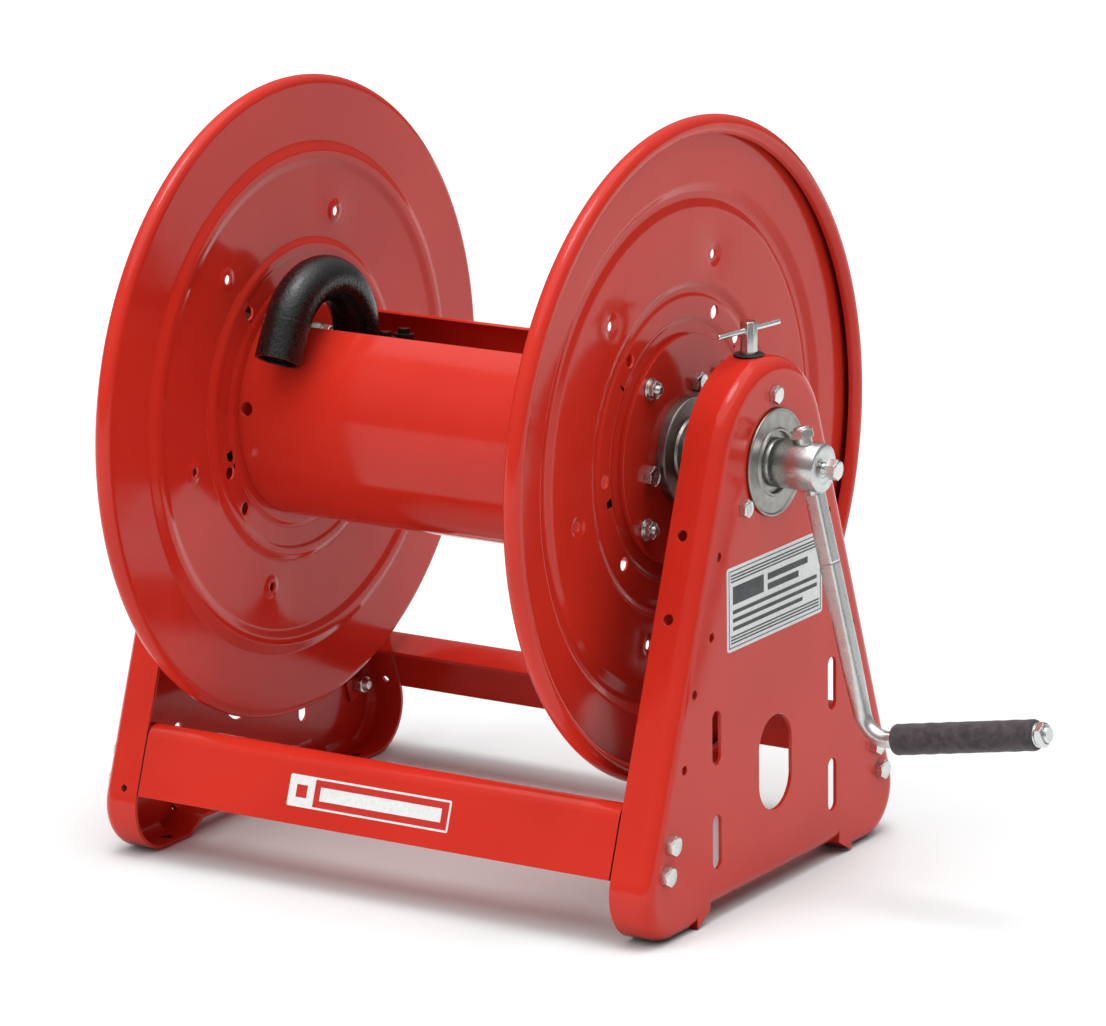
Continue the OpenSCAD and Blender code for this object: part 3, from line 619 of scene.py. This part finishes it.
def crank_pieces():
    """The crank bar, square above and round below, with its nut, its lock screw and the grip."""
    origin = Vector((CRANK_X, 0, AX))
    up = Vector((-math.sin(CRANK_LEAN), 0, math.cos(CRANK_LEAN)))
    out = Vector((math.cos(CRANK_LEAN), 0, math.sin(CRANK_LEAN)))
    top = turned(up, origin)
    shape = Shape()
    tangent = BEND_R * math.tan(ELBOW / 2)
    corner = origin - up * ARM_LENGTH
    start = corner + up * tangent
    along = Vector(JOINTS["grip_spin"]["axis"]).normalized()
    centre = start + out * BEND_R
    path, radii, squareness = [], [], []
    for h, r, m in ((-21.6, FLAT_R, 9), (-74.2, FLAT_R, 9), (-75.1, FLAT_R, 9), (-75.4, GROOVE_R, 9),
                    (-75.8, GROOVE_R, 9), (-76.1, FLAT_R, 9), (-77.0, FLAT_R, 9), (-110, FLAT_R, 9),
                    (-150, FLAT_R, 8), (-165, 6.4, 5.5), (-180, 6.5, 3.6)):
        path.append(origin + up * h)
        radii.append(r)
        squareness.append(m)
    path.append(start)
    radii.append(6.55)
    squareness.append(2.7)
    steps = 24
    for i in range(1, steps + 1):
        a = ELBOW * i / steps
        path.append(centre - out * BEND_R * math.cos(a) - up * BEND_R * math.sin(a))
        radii.append(ROD_R)
        squareness.append(max(2, 2.7 - i * 0.1))
    end = path[-1] + along * (GRIP_START - tangent + GRIP_LENGTH + 11 - 1.0)
    path += [path[-1] + along * 1.0, end, end + along * 1.0]
    radii += [GRIP_ROD_R, GRIP_ROD_R, 5.6]
    squareness += [2, 2, 2]
    shape.sweep(path, radii, 64, side=out, squareness=squareness)
    shape.lathe([(0, -22), (6.5, -22), (ROD_R, -21), (ROD_R, 22.5), (0, 22.5)], top, 36)
    shape.thread(ROD_R, 22, 31, COARSE, top)
    shape.make("crank_arm_detailed", [BAR], "reel", "zinc_steel", "crank_arm")
    shape = Shape()
    shape.hexagon(17, 22.2, 29.2, top, 6.62, both=True)
    shape.make("crank_nut_detailed", [ZINC], "reel", "zinc_steel", "crank_nut")
    shape = Shape()
    lo, hi = node_box("crank_lock_screw")
    x_axis = turned((1, 0, 0), (0, 0, AX))
    shape.thread(LARGE_BOLT, lo.x, hi.x - 8.4, FINE, x_axis)
    shape.hexagon(LARGE_HEX, hi.x - 8.5, hi.x, x_axis)
    shape.make("crank_lock_screw_detailed", [ZINC], "reel", "zinc_steel", "crank_lock_screw")
    grip = turned(along, corner + along * GRIP_START)
    shape = Shape()
    line = [(6.7, 0.3), (10.0, 0.1), (11.4, 0.8), (12.1, 2.4)]
    for i in range(1, GRIP_RINGS):
        z = 2.4 + (GRIP_LENGTH - 4.4) * i / GRIP_RINGS
        line.append((12.15 - 0.22 * (0.5 + 0.5 * math.sin(z * 0.35)) - 0.10 * math.sin(z * 1.9), z))
    line += [(12.1, 121.6), (11.6, 122.9), (10.4, GRIP_LENGTH), (6.7, 123.2)]
    shape.lathe(line, grip, 64)
    shape.make("grip_sleeve_detailed", [FOAM], "grip", "grip_foam", "grip_sleeve")
    shape = Shape()
    shape.lathe([(6.6, 123.8), (9.2, 123.8), (9.6, 124.1), (9.6, 125.1), (9.2, 125.4), (6.6, 125.4)],
                grip)
    shape.make("grip_washer_detailed", [ZINC], "reel", "zinc_steel", "grip_washer")
    shape = Shape()
    shape.hexagon(GRIP_HEX, 125.4, 131.9, grip, 6.55, both=True)
    shape.make("grip_nut_detailed", [ZINC], "reel", "zinc_steel", "grip_nut")


def turned_exact(z, x, place):
    """A matrix that puts local Z and local X along two directions that are square to each other."""
    z, x = Vector(z).normalized(), Vector(x).normalized()
    return Matrix.Translation(place) @ Matrix((x, z.cross(x), z)).transposed().to_4x4()


def rounded_rectangle(width, height, radius, steps=5):
    """The outline of a rectangle about the origin, with round corners."""
    out = []
    for cx, cy, a0 in ((1, 1, 0), (-1, 1, 90), (-1, -1, 180), (1, -1, 270)):
        for i in range(steps + 1):
            a = math.radians(a0 + 90 * i / steps)
            out.append((cx * (width / 2 - radius) + radius * math.cos(a),
                        cy * (height / 2 - radius) + radius * math.sin(a)))
    return out


POST_R, POST_H = 6.6, 23.8  # the flatted head of the brake screw, and how tall it is
TBAR_TURN = math.radians(82)  # how far the cross bar stands from the axle's line
TBAR_R = 2.15
TIP_Z, THREAD_Z = 375.3, 380.5  # heights of the screw's tip and of the lower end of its thread


def brake_pieces():
    """The brake's screw with eight flats, its cross bar and its washer."""
    lo, hi = node_box("brake_screw")
    centre = (lo + hi) / 2
    place = turned((0, 0, 1), (centre.x, centre.y, 0))
    shape = Shape()
    top = hi.z
    foot = top - POST_H

    def flatted(h):
        return lambda a: (POST_R / math.cos((a + math.pi / 8) % (math.pi / 4) - math.pi / 8) * 0.93, h)

    shape.lathe([(0, foot), flatted(foot), flatted(top - 1.2), (POST_R * 0.84, top), (0, top)],
                place, 64)
    shape.thread(6.0, THREAD_Z, foot + 0.4, COARSE, place)
    shape.lathe([(0, TIP_Z), (3.4, TIP_Z), (4, TIP_Z + 0.7), (4, THREAD_Z + 1), (0, THREAD_Z + 1)],
                place)
    shape.make("brake_screw_detailed", [SHAFT], "brake_handle", "bare_steel", "brake_screw")
    lo, hi = node_box("brake_tbar")
    middle = (lo + hi) / 2
    along = Vector((math.cos(TBAR_TURN), math.sin(TBAR_TURN), 0))
    shape = Shape()
    points = [middle + along * s for s in (-37.4, -36.6, -34, 0, 34, 36.6, 37.4)]
    shape.sweep(points, [1.5] + [TBAR_R] * 5 + [1.5])
    shape.make("brake_tbar_detailed", [ZINC], "brake_handle", "zinc_steel", "brake_tbar")
    shape = Shape()
    lo, hi = node_box("brake_washer")
    middle = (lo + hi) / 2
    shape.lathe([(6.4, lo.z), (11.7, lo.z), (12, lo.z + 0.3), (11.9, hi.z - 0.4), (11.4, hi.z),
                 (6.8, hi.z), (6.4, hi.z - 0.3), (6.4, lo.z)],
                turned((0, 0, 1), (middle.x, middle.y, 0)))
    shape.make("brake_washer_detailed", [RUBBER], "stand", "rubber_seal", "brake_washer")


# ---------------------------------------------------------------- shaft ends and covers

def cover_pieces():
    """The two pressed covers over the bearings, each with a rolled outer lip and a neck."""
    for side, name in ((1, "right"), (-1, "left")):
        node = "bearing_cover_" + name
        lo, hi = node_box(node)
        base = min(abs(lo.x), abs(hi.x))
        place = turned((side, 0, 0), (0, 0, AX))
        shape = Shape()
        line = [(24.1, base), (40.4, base), (40.6, base + 0.5), (41.8, base + 0.6), (42, base + 0.9),
                (42, base + 2.2), (41.7, base + 2.7), (41.1, base + 2.95), (40.4, base + 2.8),
                (39.9, base + 2.1), (39.3, base + 1.5), (36, base + 1.35), (33, base + 1.3),
                (29, base + 1.4), (26.9, base + 1.6), (26.2, base + 2.4), (25.8, base + 3.1),
                (25.1, base + 3.2), (24.4, base + 3.1), (24.1, base + 2.5), (24.1, base)]
        shape.lathe(line, place, 120)
        shape.make(node + "_detailed", [DARK], "stand", "dark_steel", node)


def crank_shaft_end():
    """The solid shaft with a scribed groove, a chamfer and a centre hole at its end."""
    lo, hi = node_box("crank_shaft")
    place = turned((1, 0, 0), (0, 0, AX))
    shape = Shape()
    line = [(0, lo.x), (18.4, lo.x), (19, lo.x + 0.6), (19, 259.5), (18.85, 259.8), (18.85, 260.6),
            (19, 260.9), (19, hi.x - 1.3), (18.7, hi.x - 0.5), (17.9, hi.x), (12, hi.x - 0.05),
            (11.9, hi.x - 0.2), (7.6, hi.x - 0.25), (7.3, hi.x - 0.6), (4.9, hi.x - 0.7),
            (4.9, hi.x - 6), (0, hi.x - 6)]
    shape.lathe(line, place, 120)
    shape.make("crank_shaft_detailed", [SHAFT], "reel", "bare_steel", "crank_shaft")


# ---------------------------------------------------------------- labels

def box(x0, x1, y0, y1):
    """The outline of a printed box."""
    return [(x1, y1), (x0, y1), (x0, y0), (x1, y0)]


def nameplate():
    """A plain generic plate: a rounded film with a printed border, rules and blank bars."""
    lo, hi = node_box("nameplate")
    w, h, t = hi.y - lo.y, hi.z - lo.z, hi.x - lo.x
    place = turned_exact((1, 0, 0), (0, 1, 0), (lo.x, (lo.y + hi.y) / 2, (lo.z + hi.z) / 2))
    shape = Shape()
    shape.block(rounded_rectangle(w, h, 3.0), 0, t - 0.20, place, 0.06)
    margin, rule, step = 2.6, 0.7, 2.5
    x, y = w / 2 - margin, h / 2 - margin
    border = [(-x, x, y - rule, y), (-x, x, -y, -y + rule), (-x, -x + rule, -y + rule, y - rule),
              (x - rule, x, -y + rule, y - rule)]
    upper = [(-x + 3, x - 3, y - 4.4 - k * step, y - 3.3 - k * step) for k in range(3)]
    blocks = [(-x + 6, -x + 52, y - 27, y - 13), (-x + 58, x - 20, y - 19, y - 14),
              (-x + 58, x - 34, y - 27, y - 22)]
    bars = [(-x + 6, x - 6 - 22 * (k == 2), y - 34.5 - k * 6.5, y - 31.5 - k * 6.5) for k in range(3)]
    lower = [(-x + 3, x - 3, -y + 3.3 + k * step, -y + 4.4 + k * step) for k in range(3)]
    for edges in border + upper + blocks + bars + lower:
        shape.block(box(*edges), 0, t, place, 0, 1)
    shape.make("nameplate_printed", [FILM, INK], "stand", "label_white", "nameplate")


def front_label():
    """A plain generic strip: a white film with a red square, and a red bar with a white one on it."""
    lo, hi = node_box("front_label")
    lean = math.radians(19.5)  # of the cross member's sloping face
    out = Vector((0, -math.cos(lean), math.sin(lean)))
    w, h, t = hi.x - lo.x, 25.0, 0.5
    place = turned_exact(out, (1, 0, 0), (lo + hi) / 2 - out * t / 2)
    shape = Shape()
    shape.block(rounded_rectangle(w, h, 1.6), 0, t - 0.30, place, 0.05)
    margin = 1.7
    a, b = w / 2 - margin, h / 2 - margin
    for edges, top, finish in (((-a + 5.5, -a + 15.5, -5, 5), t - 0.16, 1),
                               ((-a + 22.4, a, -b, b), t - 0.16, 1),
                               ((-a + 28, a - 6, -5.4, 5.4), t, 0)):
        shape.block(box(*edges), 0, top, place, 0, finish)
    shape.make("front_label_printed", [FILM, PRINT_RED], "stand", "label_white", "front_label")


disc_piece("disc_right_pressed", "disc_right", 1, (40.8, 62.3, 130.8, 181.1, 220.8, 310.8))
disc_piece("disc_left_pressed", "disc_left", -1, (40.8, 130.8, 200.7, 220.8, 310.8))
bolts("frame_bolts", "stand", LARGE_HEX, LARGE_BOLT, 6.2, FINE)
bolts("bearing_bolts", "stand", SMALL_HEX, SMALL_BOLT, 5.4, FINE)
nuts("frame_nuts", "stand", LARGE_HEX, LARGE_NUT)
nuts("bearing_nuts", "stand", SMALL_HEX, SMALL_NUT)
bolts("hub_bolts", "reel", LARGE_HEX, LARGE_BOLT, 6.3, 1.3)
nuts("hub_nuts", "reel", LARGE_HEX, LARGE_NUT)
shell_screws()
crank_pieces()
brake_pieces()
cover_pieces()
crank_shaft_end()
nameplate()
front_label()


# ---------------------------------------------------------------- studio

def soft_sun(name, toward, strength, angle, mirrored=True):
    """A light from far away in that direction, as wide as a soft box."""
    light = bpy.data.lights.new(name, "SUN")
    light.energy = strength
    light.angle = math.radians(angle)
    o = bpy.data.objects.new(name, light)
    o.visible_glossy = mirrored
    o.rotation_euler = Vector(toward).to_track_quat("Z", "Y").to_euler()
    bpy.context.scene.collection.objects.link(o)


def studio():
    """A pale floor, a world that is dim low down, and three soft lights from above and in front."""
    floor_mesh = bpy.data.meshes.new("floor")
    s = 12  # half of its width in metres
    floor_mesh.from_pydata([(-s, -s, 0), (s, -s, 0), (s, s, 0), (-s, s, 0)], [], [(0, 1, 2, 3)])
    floor = bpy.data.objects.new("floor", floor_mesh)
    bpy.context.scene.collection.objects.link(floor)
    floor.location.z = -0.0005  # just clear of the feet
    m, _, _, bsdf = node_tree("studio_floor")
    bsdf.inputs["Base Color"].default_value = (0.79, 0.83, 0.83, 1)
    bsdf.inputs["Roughness"].default_value = 0.9
    bsdf.inputs["Specular IOR Level"].default_value = 0.1
    floor.data.materials.append(m)
    world = bpy.data.worlds.new("studio")
    world.use_nodes = True
    nodes, links = world.node_tree.nodes, world.node_tree.links
    coords = nodes.new("ShaderNodeTexCoord")
    split = nodes.new("ShaderNodeSeparateXYZ")
    links.new(coords.outputs["Generated"], split.inputs["Vector"])
    level = spread(nodes, links, split.outputs["Z"], 0.16, 0.66, 0.05, 0.9)
    nodes["Background"].inputs["Color"].default_value = (1, 1, 1, 1)
    links.new(level, nodes["Background"].inputs["Strength"])
    bpy.context.scene.world = world
    soft_sun("overhead", (0.08, -0.10, 1), 1.05, 26)
    soft_sun("ceiling", (0.08, -0.10, 1), 1.55, 80)
    soft_sun("front", (-0.40, -1.0, 0.75), 0.72, 40, mirrored=False)
    bpy.context.scene.view_settings.view_transform = "Standard"


def camera():
    """The photo's own view, as fitted to it: a long lens from the crank side of the front."""
    yaw, pitch, roll = math.radians(32.647), math.radians(14.143), math.radians(-0.786)
    back = Vector((math.sin(yaw) * math.cos(pitch), -math.cos(yaw) * math.cos(pitch), math.sin(pitch)))
    level = Vector((math.cos(yaw), math.sin(yaw), 0))
    upright = back.cross(level)
    right = math.cos(roll) * level + math.sin(roll) * upright
    up = math.cos(roll) * upright - math.sin(roll) * level
    data = bpy.data.cameras.new("camera")
    data.sensor_width = 36
    data.lens = 194.0
    data.clip_start, data.clip_end = 0.1, 60
    o = bpy.data.objects.new("camera", data)
    o.matrix_world = Matrix.Translation((2.4979, -3.8149, 1.4183)) @ Matrix(
        (right, up, back)).transposed().to_4x4()
    bpy.context.scene.collection.objects.link(o)
    bpy.context.scene.camera = o


studio()
camera()
